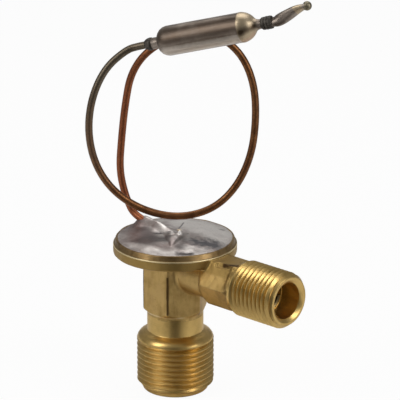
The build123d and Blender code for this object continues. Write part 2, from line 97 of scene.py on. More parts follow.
# ---- shader writing ----
class Wire:
    """A shader socket that takes part in arithmetic."""

    def __init__(self, nodes: "Nodes", socket: Any) -> None:
        """Keep the socket and the nodes that it belongs to."""
        self.nodes, self.socket = nodes, socket

    def _math(self, operation: str, *terms: Any, clamp: bool = False) -> "Wire":
        """Add a Math node.

        Args:
            operation: name of the operation.
            terms: its inputs, numbers or wires.
            clamp: whether the result is held between 0 and 1.

        Returns:
            The node's result.
        """
        settings = {"operation": operation, "use_clamp": clamp}
        return self.nodes.node("ShaderNodeMath", settings, dict(enumerate(terms)))

    def __add__(self, other: Any) -> "Wire":
        """Sum."""
        return self._math("ADD", self, other)

    __radd__ = __add__

    def __sub__(self, other: Any) -> "Wire":
        """Difference."""
        return self._math("SUBTRACT", self, other)

    def __rsub__(self, other: Any) -> "Wire":
        """Difference from a number."""
        return self._math("SUBTRACT", other, self)

    def __mul__(self, other: Any) -> "Wire":
        """Product."""
        return self._math("MULTIPLY", self, other)

    __rmul__ = __mul__

    def power(self, exponent: float) -> "Wire":
        """Raise to a power."""
        return self._math("POWER", self, exponent)

    def ramp(self, low: float, high: float) -> "Wire":
        """Rise from 0 at low to 1 at high, held outside (low may be the larger)."""
        return self._math("MULTIPLY_ADD", self, 1.0 / (high - low), -low / (high - low), clamp=True)

    def over(self, span: Span) -> "Wire":
        """Rise from the first of two lengths in millimetres to the second."""
        return self.ramp(span[0] * MM, span[1] * MM)

    def largest(self, other: Any) -> "Wire":
        """The larger of two values."""
        return self._math("MAXIMUM", self, other)


class Nodes:
    """Adds nodes to a material's or a world's tree."""

    def __init__(self, owner: Any) -> None:
        """Give the owner an empty node tree.

        Args:
            owner: the material or world.
        """
        owner.use_nodes = True
        self.tree = owner.node_tree
        self.tree.nodes.clear()

    def node(self, kind: str, settings: Optional[dict[str, Any]] = None,
             inputs: Optional[dict[Union[str, int], Any]] = None, output: Union[str, int] = 0) -> Wire:
        """Add one node.

        Args:
            kind: the node's type.
            settings: attributes set first.
            inputs: socket name or number to a value or a wire.
            output: the socket to hand back.

        Returns:
            The wanted output as a wire.
        """
        made = self.tree.nodes.new(kind)
        for key, value in (settings or {}).items():
            setattr(made, key, value)
        for key, value in (inputs or {}).items():
            self.plug(made.inputs[key], value)
        return Wire(self, made.outputs[output])

    def plug(self, socket: Any, value: Any) -> None:
        """Set a socket to a value, or link a wire to it.

        Args:
            socket: an input.
            value: a wire, a number, a vector or a colour.
        """
        if isinstance(value, Wire):
            self.tree.links.new(value.socket, socket)
        elif isinstance(value, tuple) and len(value) == 3 and socket.type == "RGBA":
            socket.default_value = (*value, 1.0)
        else:
            socket.default_value = value

    def vector(self, operation: str, *terms: Any, output: Union[str, int] = 0) -> Wire:
        """Add a Vector Math node.

        Args:
            operation: name of the operation.
            terms: its inputs.
            output: the socket wanted.

        Returns:
            The node's result.
        """
        return self.node("ShaderNodeVectorMath", {"operation": operation}, dict(enumerate(terms)), output)


@dataclass(frozen=True)
class Layer:
    """A colour that a pattern lays over a finish, from nothing at one of its values to a share at another."""

    start: float
    full: float
    share: float
    colour: Colour


@dataclass(frozen=True)
class Daub:
    """A painted stroke: its ends, core, rim and ragged edge in millimetres, its share and its colour."""

    start: Sequence[float]
    end: Sequence[float]
    core: float
    rim: float
    ragged: float
    share: float
    colour: Colour


@dataclass(frozen=True)
class Skin:
    """A finish's roughness, what its pattern adds to that, its relief in millimetres, and its metal."""

    roughness: float
    added: float
    relief: float
    strength: float = 0.8
    metallic: float = 1.0


class Bench(Nodes):
    """Builds one material."""

    finer_weight = 0.55
    ragged_size = 1.4

    def __init__(self, name: str) -> None:
        """Start a material with one shader.

        Args:
            name: its name.
        """
        self.material = bpy.data.materials.new(name)
        super().__init__(self.material)
        self.output = self.tree.nodes.new("ShaderNodeOutputMaterial")
        self.shader = self.tree.nodes.new("ShaderNodeBsdfPrincipled")
        self.tree.links.new(self.shader.outputs[0], self.output.inputs["Surface"])

    def place(self) -> Wire:
        """Object coordinates."""
        return self.node("ShaderNodeTexCoord", output="Object")

    def axis(self, letter: str) -> Wire:
        """One Object coordinate."""
        return self.node("ShaderNodeSeparateXYZ", inputs={0: self.place()}, output=letter)

    def along(self) -> Wire:
        """Share of the way along the piece."""
        return self.node("ShaderNodeAttribute", {"attribute_name": "along"}, output="Fac")

    def grain(self, size: float, detail: float = 3.0, stretch: Spot = (1, 1, 1), seed: float = 0.0,
              where: Optional[Wire] = None) -> Wire:
        """Cloudy variation from 0 to 1.

        Args:
            size: size of its patches in millimetres.
            detail: octaves.
            stretch: factors on the coordinates, larger for finer.
            seed: shift of the pattern.
            where: coordinates in place of the object's own.

        Returns:
            The value.
        """
        scale = tuple(factor / (size * MM) for factor in stretch)
        spot = self.node("ShaderNodeMapping", inputs={"Vector": where or self.place(), "Scale": scale,
                                                      "Location": (seed, seed * 0.7, -seed)})
        return self.node("ShaderNodeTexNoise", inputs={"Vector": spot, "Scale": 1.0, "Detail": detail,
                                                       "Roughness": self.finer_weight})

    def radius(self) -> Wire:
        """Distance from the valve's axis in metres."""
        x, y = self.axis("X"), self.axis("Y")
        return (x * x + y * y).power(0.5)

    def blend(self, share: Any, first: Any, second: Any) -> Wire:
        """Mix two colours by a share."""
        return self.node("ShaderNodeMix", {"data_type": "RGBA"}, {0: share, 6: first, 7: second}, output=2)

    def lay(self, tone: Any, *layers: tuple[Wire, Layer]) -> Wire:
        """Lay colours over a tone.

        Args:
            tone: the colour below.
            layers: patterns, each with the layer that it lays.

        Returns:
            The colour with the layers.
        """
        for pattern, layer in layers:
            tone = self.blend(pattern.ramp(layer.start, layer.full) * layer.share, tone, layer.colour)
        return tone

    def paint(self, tone: Any, daub: Daub, where: Optional[Wire] = None) -> Wire:
        """Lay a soft-edged stroke over a tone.

        Args:
            tone: the colour below.
            daub: the stroke.
            where: coordinates in place of the object's own.

        Returns:
            The colour with the stroke.
        """
        start, end = Vector(daub.start).to_3d(), Vector(daub.end).to_3d()
        run = (end - start) * MM
        offset = self.vector("SUBTRACT", where or self.place(), tuple(start * MM))
        passed = self.vector("DOT_PRODUCT", offset, tuple(run / run.length_squared), output="Value")
        reached = self.node("ShaderNodeVectorMath", {"operation": "SCALE"},
                            {0: tuple(run), "Scale": passed.ramp(0.0, 1.0)})
        distance = self.vector("DISTANCE", offset, reached, output="Value")
        waver = self.grain(self.ragged_size, 3, seed=daub.core * 7) - 0.5
        cover = (distance + waver * (2 * daub.ragged * MM)).over((daub.rim, daub.core))
        return self.blend(cover * daub.share, tone, daub.colour)

    def finish(self, **sockets: Any) -> Material:
        """Fill the shader's sockets.

        Args:
            sockets: their values by name, where underscores stand for spaces.

        Returns:
            The material.
        """
        for key, value in sockets.items():
            self.plug(self.shader.inputs[key.replace("_", " ")], value)
        return self.material

    def wear(self, tone: Wire, skin: Skin, pattern: Wire, relief: Wire) -> Material:
        """Finish the material.

        Args:
            tone: its colour.
            skin: its skin.
            pattern: what varies its roughness.
            relief: height of its relief.

        Returns:
            The material.
        """
        normal = self.node("ShaderNodeBump", inputs={"Height": relief, "Distance": skin.relief * MM,
                                                     "Strength": skin.strength})
        return self.finish(Base_Color=tone, Metallic=skin.metallic, Normal=normal,
                           Roughness=skin.roughness + skin.added * pattern)


# ---- finishes ----
@dataclass(frozen=True)
class ForgedBrass:
    """Satin skin of a hot forging, with scale patches, painted shade on the trunk's corners, a painted
    highlight along the trunk's foot, dark strokes on the boss of which the upper one is a painted shadow, and
    a fine sandy relief.
    """

    light: Colour = (0.60, 0.405, 0.15)
    dark: Colour = (0.28, 0.165, 0.045)
    near_black: Colour = (0.06, 0.03, 0.012)
    scale: Layer = Layer(0.46, 0.74, 0.55, dark)
    pink: Layer = Layer(0.52, 0.75, 0.45, (0.54, 0.36, 0.17))
    streaks: Layer = Layer(0.52, 0.74, 0.45, dark)
    specks: Layer = Layer(0.62, 0.8, 0.5, dark)
    trunk_x: Span = (7.6, 6.6)
    # painted shade: a near-black line down each corner of the trunk
    corner_r: Span = (9.31, 9.45)
    corner_z: Span = (36.7, 36.3)
    corners: Layer = Layer(0.0, 1.0, 0.85, near_black)
    # painted highlight: a bright line along the trunk's lower edge
    foot_z: float = 23.85
    foot_width: Span = (0.35, 0.14)
    foot_highlight: Layer = Layer(0.0, 1.0, 0.7, (0.84, 0.69, 0.40))
    band_r: Span = (16.9, 17.3)
    band_z: Span = (40.2, 40.8)
    band: Layer = Layer(0.0, 1.0, 0.75, (0.36, 0.235, 0.075))
    # the first stroke is a painted shadow in the pocket on top of the boss; the second is a dark stroke low
    # on the boss's front
    marks: tuple[Daub, ...] = (Daub((21.9, -3.3, 43.2), (26.3, -1.9, 43.2), 0.35, 1.0, 0.45, 0.95, near_black),
                               Daub((25.0, -7.6, 38.6), (26.2, -7.4, 37.0), 0.2, 1.3, 0.3, 0.7, near_black))
    skin: Skin = Skin(0.34, 0.2, 0.05)

    def make(self) -> Material:
        """Build the finish.

        Returns:
            Its material.
        """
        bench = Bench("forged_brass")
        height, radius = bench.axis("Z"), bench.radius()
        patches = bench.grain(4.0, 4, seed=3.1)
        trunk = bench.axis("X").over(self.trunk_x)
        above = height - self.foot_z * MM
        tone = bench.lay(
            self.light,
            (patches, self.scale),
            (bench.grain(6.5, 2, seed=12), self.pink),
            (bench.grain(1.6, 4, stretch=(1, 1, 0.16), seed=17), self.streaks),
            (bench.grain(0.55, 3, seed=8.0), self.specks),
            # the next two layers are painted shade on the trunk's corners and a painted highlight along its
            # foot
            (radius.over(self.corner_r) * height.over(self.corner_z) * trunk, self.corners),
            (above.largest(0.0 - above).over(self.foot_width) * trunk, self.foot_highlight),
            (radius.over(self.band_r) * height.over(self.band_z), self.band))
        for mark in self.marks:
            tone = bench.paint(tone, mark)
        relief = bench.grain(0.35, 3) * 0.5 + bench.grain(1.6, 2, seed=5)
        return bench.wear(tone, self.skin, patches, relief)


@dataclass(frozen=True)
class TurnedBrass:
    """Bright machined brass with fine tool marks around its axis."""

    name: str
    axis: str
    light: Colour = (0.76, 0.52, 0.185)
    dark: Colour = (0.40, 0.25, 0.065)
    stain: Layer = Layer(0.5, 0.78, 0.6, dark)
    lines: Layer = Layer(0.55, 0.8, 0.3, dark)
    fine: float = 40.0
    coarse: float = 0.35
    skin: Skin = Skin(0.25, 0.16, 0.012)

    def make(self) -> Material:
        """Build the finish.

        Returns:
            Its material.
        """
        bench = Bench(self.name)
        stretch = tuple(self.fine if letter == self.axis else self.coarse for letter in "XYZ")
        marks = bench.grain(3.0, 2, stretch=stretch, seed=2)
        tone = bench.lay(self.light, (bench.grain(5.0, 4, seed=9), self.stain), (marks, self.lines))
        return bench.wear(tone, self.skin, marks, marks)


@dataclass(frozen=True)
class RimBrass:
    """Brown spun rim with a painted highlight along its lower edge."""

    brown: Colour = (0.34, 0.225, 0.10)
    stain: Layer = Layer(0.42, 0.72, 0.8, (0.14, 0.085, 0.03))
    # painted highlight: a bright ring on the rim's outermost edge
    highlight_r: Span = (17.42, 17.52)
    wear_and_highlight: Layer = Layer(0.0, 1.0, 1.0, (0.92, 0.76, 0.44))
    skin: Skin = Skin(0.28, 0.2, 0.02)

    def make(self) -> Material:
        """Build the finish.

        Returns:
            Its material.
        """
        bench = Bench("rolled_brass")
        stain = bench.grain(3.0, 4, seed=9)
        marks = bench.grain(3.0, 2, stretch=(0.35, 0.35, 30.0), seed=2)
        wear_and_highlight = bench.radius().over(self.highlight_r)
        tone = bench.lay(self.brown, (stain, self.stain), (wear_and_highlight, self.wear_and_highlight))
        return bench.wear(tone, self.skin, marks, marks + stain)


@dataclass(frozen=True)
class SoftSolder:
    """Tin solder that set in ripples, mauve-grey with bright and dark blotches; among its daubs are painted
    highlights on the ridge and the beads, painted shade beside the wedge and in the hollow, and a painted
    reflection of the tube along two creases.

    The ends of its daubs are given by x and y alone, and hold at any height.
    """

    light: Colour = (0.60, 0.555, 0.52)
    mauve: Colour = (0.28, 0.215, 0.20)
    dark: Colour = (0.085, 0.075, 0.075)
    pale: Colour = (0.84, 0.80, 0.755)
    gold: Colour = (0.42, 0.30, 0.12)
    blue: Colour = (0.08, 0.082, 0.095)
    clouds: Layer = Layer(0.44, 0.66, 0.7, mauve)
    specks: Layer = Layer(0.6, 0.8, 0.35, dark)
    daubs: tuple[Daub, ...] = (
        Daub((-14.5, -3.0), (-4.0, -9.0), 2.0, 5.5, 1.0, 0.85, mauve),
        Daub((-8.5, -4.2), (-3.4, -6.6), 0.8, 3.2, 1.2, 0.5, dark),
        Daub((-3.4, -10.2), (1.6, -6.2), 0.9, 3.2, 1.2, 0.6, dark),
        Daub((-4.0, 9.0), (9.0, 9.0), 3.0, 7.0, 1.2, 0.75, pale),
        Daub((8.0, 5.5), (13.0, 4.5), 1.0, 3.5, 1.0, 0.4, pale),
        Daub((-3.5, -13.9), (7.0, -12.7), 0.5, 2.0, 0.7, 0.4, pale),
        Daub((-2.0, -9.8), (6.5, -10.2), 0.8, 2.4, 0.8, 0.5, mauve),
        Daub((9.4, -0.6), (13.4, 1.8), 1.0, 4.2, 3.2, 0.85, blue),
        Daub((10.8, -9.8), (13.2, -7.8), 0.3, 1.6, 0.7, 0.9, dark),
        Daub((4.2, -5.4), (5.9, -7.4), 0.4, 1.3, 0.2, 0.6, mauve),
        # painted shadow on the wedge's shaded side
        Daub((5.0, -2.4), (8.6, -7.0), 0.5, 2.0, 0.8, 0.55, dark),
        # painted shade in the hollow beside the ridge
        Daub((-3.9, -3.4), (-3.1, -3.1), 0.3, 1.3, 0.3, 0.9, dark),
        # painted reflection of the tube: thin dark lines along the two creases
        Daub((-10.2, 4.3), (-4.0, 1.6), 0.08, 0.42, 0.1, 0.85, dark),
        Daub((-4.7, 8.5), (-1.6, 3.2), 0.06, 0.36, 0.1, 0.75, dark),
        Daub((-0.9, 2.6), (-0.3, 1.9), 0.2, 0.8, 0.2, 0.75, gold),
        # painted highlight along the ridge's crest
        Daub((-6.5, 0.3), (-3.6, -0.6), 0.2, 0.9, 0.2, 0.85, pale),
        # painted highlights on the two beads
        Daub((1.0, -2.4), (1.9, -3.4), 0.3, 0.95, 0.1, 0.75, pale),
        Daub((2.8, -0.9), (3.5, -1.7), 0.4, 0.9, 0.1, 1.0, pale),
        Daub((6.0, 12.7), (6.7, 12.9), 0.1, 0.8, 0.2, 0.6, dark))
    skin: Skin = Skin(0.3, 0.22, 0.16, metallic=0.85)

    def make(self) -> Material:
        """Build the finish.

        Returns:
            Its material.
        """
        bench = Bench("soft_solder")
        clouds = bench.grain(3.6, 4, stretch=(1, 1.4, 1), seed=4.3)
        fine = bench.grain(0.7, 3, seed=6)
        level = bench.vector("MULTIPLY", bench.place(), (1.0, 1.0, 0.0))
        tone = bench.lay(self.light, (clouds, self.clouds))
        for daub in self.daubs:
            tone = bench.paint(tone, daub, level)
        tone = bench.lay(tone, (fine, self.specks))
        return bench.wear(tone, self.skin, clouds, clouds * 1.2 + fine * 0.3)


@dataclass(frozen=True)
class DrawnCopper:
    """Copper tube browned by heat, redder near the head and grey-olive near the bulb."""

    brown: Colour = (0.255, 0.11, 0.042)
    dark: Colour = (0.075, 0.028, 0.012)
    streaks: Layer = Layer(0.40, 0.68, 0.65, dark)
    red: Layer = Layer(0.34, 0.20, 0.65, (0.36, 0.11, 0.05))
    olive: Layer = Layer(0.72, 0.88, 0.85, (0.15, 0.135, 0.10))
    specks: Layer = Layer(0.6, 0.85, 0.4, dark)
    skin: Skin = Skin(0.3, 0.22, 0.03, 0.7, 0.9)

    def make(self) -> Material:
        """Build the finish.

        Returns:
            Its material.
        """
        bench = Bench("drawn_copper")
        along = bench.along()
        streaks = bench.grain(2.6, 4, seed=1.7)
        fine = bench.grain(0.5, 3, seed=7)
        tone = bench.lay(self.brown, (streaks, self.streaks), (along, self.red), (along, self.olive),
                         (fine, self.specks))
        return bench.wear(tone, self.skin, streaks, fine + streaks)


@dataclass(frozen=True)
class BulbCopper:
    """Spun copper dulled to grey-brown, with a heat-tinted band at the domed end, painted reflections in a
    dark and a pale band along its length, and a painted dark reflection on the dome.

    The ends of its daubs are given by distance along the bulb and angle down from its front.
    """

    grey: Colour = (0.25, 0.205, 0.17)
    pale: Colour = (0.46, 0.395, 0.335)
    dark: Colour = (0.085, 0.055, 0.035)
    clouds: Layer = Layer(0.42, 0.7, 0.8, pale)
    light_streaks: Layer = Layer(0.55, 0.72, 0.45, pale)
    dark_streaks: Layer = Layer(0.46, 0.33, 0.55, dark)
    # painted reflections: a dark band just above the front and a pale band low down, along the cylinder
    painted_reflections: tuple[Daub, ...] = (Daub((0, -15), (22, -15), 1.6, 3.4, 0.3, 0.7, dark),
                               Daub((0, 58), (22, 58), 0.9, 2.4, 0.4, 0.85, (0.78, 0.70, 0.61)))
    straw_from: Span = (0.789, 0.80)
    straw_to: Span = (0.95, 0.90)
    straw: Layer = Layer(0.0, 1.0, 0.85, (0.58, 0.465, 0.31))
    # the first is a painted dark reflection on the dome; the second is a rosy tint low on the dome
    dome_reflection_and_tint: tuple[Daub, ...] = (Daub((22.9, 22), (26.0, 12), 0.5, 1.4, 0.2, 0.9, (0.04, 0.022, 0.01)),
                               Daub((23.2, 75), (25.0, 75), 0.5, 1.6, 0.3, 0.6, (0.62, 0.40, 0.28)))
    skin: Skin = Skin(0.3, 0.18, 0.03, 0.7, 0.92)
    girth_r: float = 4.2
    front: float = 165.8
    dome_end: float = 28.0
    dome_length: float = 5.5

    def wrapped(self, daub: Daub) -> Daub:
        """Find where a daub is on the bulb.

        Args:
            daub: one with its ends as above.

        Returns:
            The same with its ends as places.
        """
        ends = []
        for distance, drop in (daub.start, daub.end):
            angle = math.radians(self.front + drop)
            spread = self.girth_r * min(1.0, (self.dome_end - distance) / self.dome_length)
            spot = Vector((spread * math.cos(angle), spread * math.sin(angle), distance)) * MM
            ends.append(tuple((BULB_AXES @ spot) / MM))
        return replace(daub, start=ends[0], end=ends[1])

    def make(self) -> Material:
        """Build the finish.

        Returns:
            Its material.
        """
        bench = Bench("bulb_copper")
        lay = BULB_AXES.to_3x3().inverted().to_euler("XYZ")
        turned = bench.node("ShaderNodeMapping", inputs={"Vector": bench.place(), "Rotation": tuple(lay)})
        along = bench.along()
        clouds = bench.grain(4.2, 4, seed=14)
        streaks = bench.grain(1.1, 4, stretch=(1, 1, 0.09), seed=31, where=turned)
        fine = bench.grain(0.45, 3, seed=3)
        tone = bench.lay(self.grey, (clouds, self.clouds), (streaks, self.light_streaks),
                         (streaks, self.dark_streaks))
        for daub in self.painted_reflections:
            tone = bench.paint(tone, self.wrapped(daub))
        tone = bench.lay(tone, (along.ramp(*self.straw_from) * along.ramp(*self.straw_to), self.straw))
        for daub in self.dome_reflection_and_tint:
            tone = bench.paint(tone, self.wrapped(daub))
        return bench.wear(tone, self.skin, clouds, fine * 0.4 + streaks)


@dataclass(frozen=True)
class PlainMetal:
    """A clean metal finish for small pieces."""

    name: str
    colour: Colour
    shade: Colour
    roughness: float
    metallic: float = 1.0
    relief: float = 0.02

    def make(self) -> Material:
        """Build the finish.

        Returns:
            Its material.
        """
        bench = Bench(self.name)
        clouds = bench.grain(1.8, 4, seed=11)
        fine = bench.grain(0.4, 2, seed=2)
        tone = bench.lay(self.colour, (clouds, Layer(0.45, 0.7, 1.0, self.shade)))
        skin = Skin(self.roughness, 0.15, self.relief, 0.7, self.metallic)
        return bench.wear(tone, skin, clouds, fine + clouds)


@dataclass(frozen=True)
class SealRubber:
    """Matt black rubber."""

    black: Colour = (0.02, 0.02, 0.021)
    wear_and_highlight: Layer = Layer(0.0, 1.0, 1.0, (0.045, 0.044, 0.043))
    skin: Skin = Skin(0.6, 0.2, 0.01, 1.0, 0.0)

    def make(self) -> Material:
        """Build the finish.

        Returns:
            Its material.
        """
        bench = Bench("seal_rubber")
        fine = bench.grain(0.3, 2)
        return bench.wear(bench.lay(self.black, (fine, self.wear_and_highlight)), self.skin, fine, fine)


# ---- mesh building ----
def lump(point: Vector, size: float, seed: float = 0.0) -> float:
    """Smooth noise from about -1 to 1 with patches of that many millimetres."""
    return noise.noise(point / (size * MM) + Vector((seed, seed * 1.7, -seed)))


def spun(outline: Outline, segments: int, closed: bool = True) -> Shell:
    """Spin a (radius, height) outline about Z.

    Args:
        outline: corners in millimetres.
        segments: steps in the full turn.
        closed: whether the last corner joins the first.

    Returns:
        The shell.
    """
    shell = bmesh.new()
    corners = [shell.verts.new((radius * MM, 0, height * MM)) for radius, height in outline]
    ends = corners[1:] + corners[:1] if closed else corners[1:]
    edges = [shell.edges.new(pair) for pair in zip(corners, ends)]
    bmesh.ops.spin(shell, geom=corners + edges, cent=(0, 0, 0), axis=(0, 0, 1), angle=FULL_TURN,
                   steps=segments, use_merge=True)
    bmesh.ops.remove_doubles(shell, verts=shell.verts, dist=GAP)
    bmesh.ops.recalc_face_normals(shell, faces=shell.faces)
    return shell


def show(name: str, data: Any) -> Object:
    """Put an object into the scene.

    Args:
        name: its name.
        data: its mesh, curve, camera or lamp.

    Returns:
        The object.
    """
    made = bpy.data.objects.new(name, data)
    bpy.context.scene.collection.objects.link(made)
    return made


def as_mesh(name: str, shell: Shell) -> Mesh:
    """Turn a bmesh into a mesh.

    Args:
        name: the mesh's name.
        shell: the bmesh, which is freed.

    Returns:
        The mesh.
    """
    mesh = bpy.data.meshes.new(name)
    shell.to_mesh(mesh)
    shell.free()
    return mesh


def piece(name: str, shell: Shell, material: Material, node: str,
          sharp: float = 30.0) -> Object:
    """Turn a bmesh into a smooth-shaded object that rides on the valve.

    Args:
        name: the piece's name.
        shell: its mesh, which is freed.
        material: its finish.
        node: the CAD node that it stands for.
        sharp: angle in degrees past which an edge is shaded sharp.

    Returns:
        The object.
    """
    limit = math.radians(sharp)
    for edge in shell.edges:
        edge.smooth = len(edge.link_faces) != 2 or edge.calc_face_angle(0.0) < limit
    for face in shell.faces:
        face.smooth = True
    made = show(name, as_mesh(name, shell))
    made.data.materials.append(material)
    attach(made, BODY)
    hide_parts(node)
    LOG.info("%s: %d faces on %s", name, len(made.data.polygons), BODY)
    return made


def soften(shell: Shell, width: float) -> None:
    """Round every edge that turns more than 30 degrees.

    Args:
        shell: what is rounded.
        width: how far from each edge, in millimetres.
    """
    limit = math.radians(30.0)
    edges = [e for e in shell.edges if len(e.link_faces) == 2 and e.calc_face_angle(0.0) > limit]
    bmesh.ops.bevel(shell, geom=edges, offset=width * MM, offset_type="OFFSET", affect="EDGES",
                    segments=2, profile=0.5, material=-1, clamp_overlap=True)


def mark_along(made: Object, shares: Iterable[float]) -> None:
    """Store what a finish reads as "along".

    Args:
        made: the piece.
        shares: each point's share of the way along it.
    """
    attribute = made.data.attributes.new("along", "FLOAT", "POINT")
    for stored, share in zip(attribute.data, shares):
        stored.value = share


def merged_copy(source: Mesh, gap: float = GAP) -> Shell:
    """Copy a mesh and merge its corners.

    Args:
        source: the mesh.
        gap: how near they are, in metres.

    Returns:
        The merged copy.
    """
    shell = bmesh.new()
    shell.from_mesh(source)
    bmesh.ops.remove_doubles(shell, verts=shell.verts, dist=gap)
    return shell


def slice_off(shell: Shell, place: Spot, outwards: Spot) -> None:
    """Cut away what lies beyond a plane through a place in millimetres."""
    bmesh.ops.bisect_plane(shell, geom=shell.verts[:] + shell.edges[:] + shell.faces[:], dist=1e-7,
                           plane_co=Vector(place) * MM, plane_no=outwards, clear_outer=True)


@dataclass
class PipeThread:
    """A right-hand helical thread on a blank, fading out at its inner end.

    Heights run along the axis from the free end. stations are shares of the pitch.
    """

    crest_r: float
    lead_from: Span
    lead_to: Span
    fades: float
    end: float
    pitch: float = 1.5
    depth: float = 0.92
    rounding: float = 0.08
    stations: Sequence[float] = (0.0, 0.07, 0.12, 0.43, 0.48, 0.56, 0.61, 0.92, 1.0)
    roughness: float = 0.008
    grit: float = 0.8
    steps: int = 96

    def envelope(self, height: float, radius: float) -> float:
        """Hold a radius between the lead chamfer outside and the run-out inside.

        Args:
            height: where along the thread.
            radius: the helix's own radius there.

        Returns:
            The radius held.
        """
        (h0, r0), (h1, r1) = self.lead_from, self.lead_to
        outer = min(self.crest_r, r0 + (height - h0) * (r1 - r0) / (h1 - h0))
        share = min(1.0, max(0.0, (height - self.fades) / (self.end - self.fades)))
        inner = self.crest_r - self.depth * (1.0 - share)
        return max(min(radius, outer), min(inner, outer))

    def shell(self) -> Shell:
        """Spin one pitch of the profile into the helix and trim it.

        Returns:
            The threaded surface, open at both ends.
        """
        root, crest, pitch = self.crest_r - self.depth, self.crest_r, self.pitch
        low, high = root + self.rounding, crest - self.rounding
        start, end = self.lead_from[0], self.end
        turns = math.ceil((end - start) / pitch) + 1
        shell = bmesh.new()
        radii = (root, root, low, high, crest, crest, high, low, root)
        points = [shell.verts.new((radius * MM, 0, (start - pitch + station * pitch) * MM))
                  for radius, station in zip(radii, self.stations)]
        edges = [shell.edges.new(pair) for pair in zip(points, points[1:])]
        bmesh.ops.spin(shell, geom=points + edges, cent=(0, 0, 0), axis=(0, 0, 1), steps=self.steps * turns,
                       angle=FULL_TURN * turns, dvec=(0, 0, pitch * MM / self.steps))
        bmesh.ops.remove_doubles(shell, verts=shell.verts, dist=GAP)
        slice_off(shell, (0, 0, start), (0, 0, -1))
        slice_off(shell, (0, 0, end), (0, 0, 1))
        for vertex in shell.verts:
            radius = math.hypot(vertex.co.x, vertex.co.y)
            held = self.envelope(vertex.co.z / MM, radius / MM) * MM
            held += lump(vertex.co, self.grit) * self.roughness * MM
            vertex.co.xy *= held / radius
        bmesh.ops.recalc_face_normals(shell, faces=shell.faces)
        return shell


@dataclass
class ThreadedFitting:
    """A turned pipe end: a lathe-turned shell with a helical thread on its blank."""

    name: str
    lie: Lie
    outline: Outline
    thread: PipeThread
    segments: int = 128
    edge: float = 0.12

    def build(self, material: Material) -> Object:
        """Turn the fitting and cut its thread.

        Args:
            material: its finish.

        Returns:
            The object.
        """
        shell = spun(self.outline, self.segments)
        soften(shell, self.edge)
        mesh = as_mesh("thread", self.thread.shell())
        shell.from_mesh(mesh)
        bpy.data.meshes.remove(mesh)
        shell.transform(self.lie.value)
        return piece(self.name, shell, material, "valve_body")


@dataclass
class Forging:
    """Trunk, flange and inlet boss, softened as a forging is."""

    voxel: float = 0.25
    cut_below: float = 22.6
    cut_above: float = 44.0
    cut_beyond: float = 26.75
    passes: int = 4
    unevenness: Sequence[Spot] = ((0.05, 3.5, 0.0), (0.02, 1.1, 4.0))

    def build(self, material: Material) -> Object:
        """Remesh a merged copy of the body and round its edges.

        Args:
            material: the forged skin.

        Returns:
            The object.
        """
        mesh = as_mesh("rough_forging", merged_copy(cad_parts["valve_body"].data, 2 * GAP))
        rough = show("rough_forging", mesh)
        remesh = rough.modifiers.new("skin", "REMESH")
        remesh.mode, remesh.voxel_size, remesh.adaptivity = "VOXEL", self.voxel * MM, 0.0
        ready = rough.evaluated_get(bpy.context.evaluated_depsgraph_get())
        shell = bmesh.new()
        shell.from_mesh(ready.to_mesh())
        ready.to_mesh_clear()
        bpy.data.objects.remove(rough)
        bpy.data.meshes.remove(mesh)
        for _ in range(self.passes):
            bmesh.ops.smooth_vert(shell, verts=shell.verts, factor=0.5, use_axis_x=True, use_axis_y=True,
                                  use_axis_z=True)
        slice_off(shell, (0, 0, self.cut_below), (0, 0, -1))
        slice_off(shell, (0, 0, self.cut_above), (0, 0, 1))
        slice_off(shell, (self.cut_beyond, 0, 0), (1, 0, 0))
        shell.normal_update()
        for vertex in shell.verts:
            rise = sum(depth * lump(vertex.co, size, seed) for depth, size, seed in self.unevenness)
            vertex.co += vertex.normal * rise * MM
        return piece("forged_body", shell, material, "valve_body", sharp=60)


@dataclass
class FlangeRim:
    """Thin wall spun in over the edge of the cover, with the slight waves that spinning leaves."""

    outline: Outline = (
        (15.9, 43.2), (17.3, 43.4), (17.62, 43.75), (17.55, 44.02), (17.2, 44.12), (16.86, 45.42),
        (16.72, 45.5), (16.2, 45.46), (16.1, 45.2), (16.35, 44.1))
    segments: int = 192
    edge: float = 0.06
    wave_from: float = 44.3
    wave_up: float = 0.10
    wave_out: float = 0.006

    def build(self, material: Material) -> Object:
        """Spin the rim and let its top edge waver.

        Args:
            material: its finish.

        Returns:
            The object.
        """
        shell = spun(self.outline, self.segments)
        soften(shell, self.edge)
        for vertex in shell.verts:
            lift = max(0.0, vertex.co.z / MM - self.wave_from)
            vertex.co.z += self.wave_up * lift * lump(vertex.co, size=4.0) * MM
            vertex.co.xy *= 1 + self.wave_out * lift * lump(vertex.co, size=5.0, seed=3)
        return piece("flange_rim", shell, material, "valve_body", sharp=50)


@dataclass
class Swell:
    """One rounded rise or hollow on the solder: place, size along and across, turn and height."""

    x: float
    y: float
    long: float
    wide: float
    turn: float
    height: float

    def at(self, x: float, y: float) -> float:
        """Measure it at a place.

        Args:
            x: place along X.
            y: place along Y.

        Returns:
            Its height there.
        """
        angle = math.radians(self.turn)
        dx, dy = x - self.x, y - self.y
        along = (dx * math.cos(angle) + dy * math.sin(angle)) / self.long
        across = (-dx * math.sin(angle) + dy * math.cos(angle)) / self.wide
        return self.height * math.exp(-(along * along + across * across))


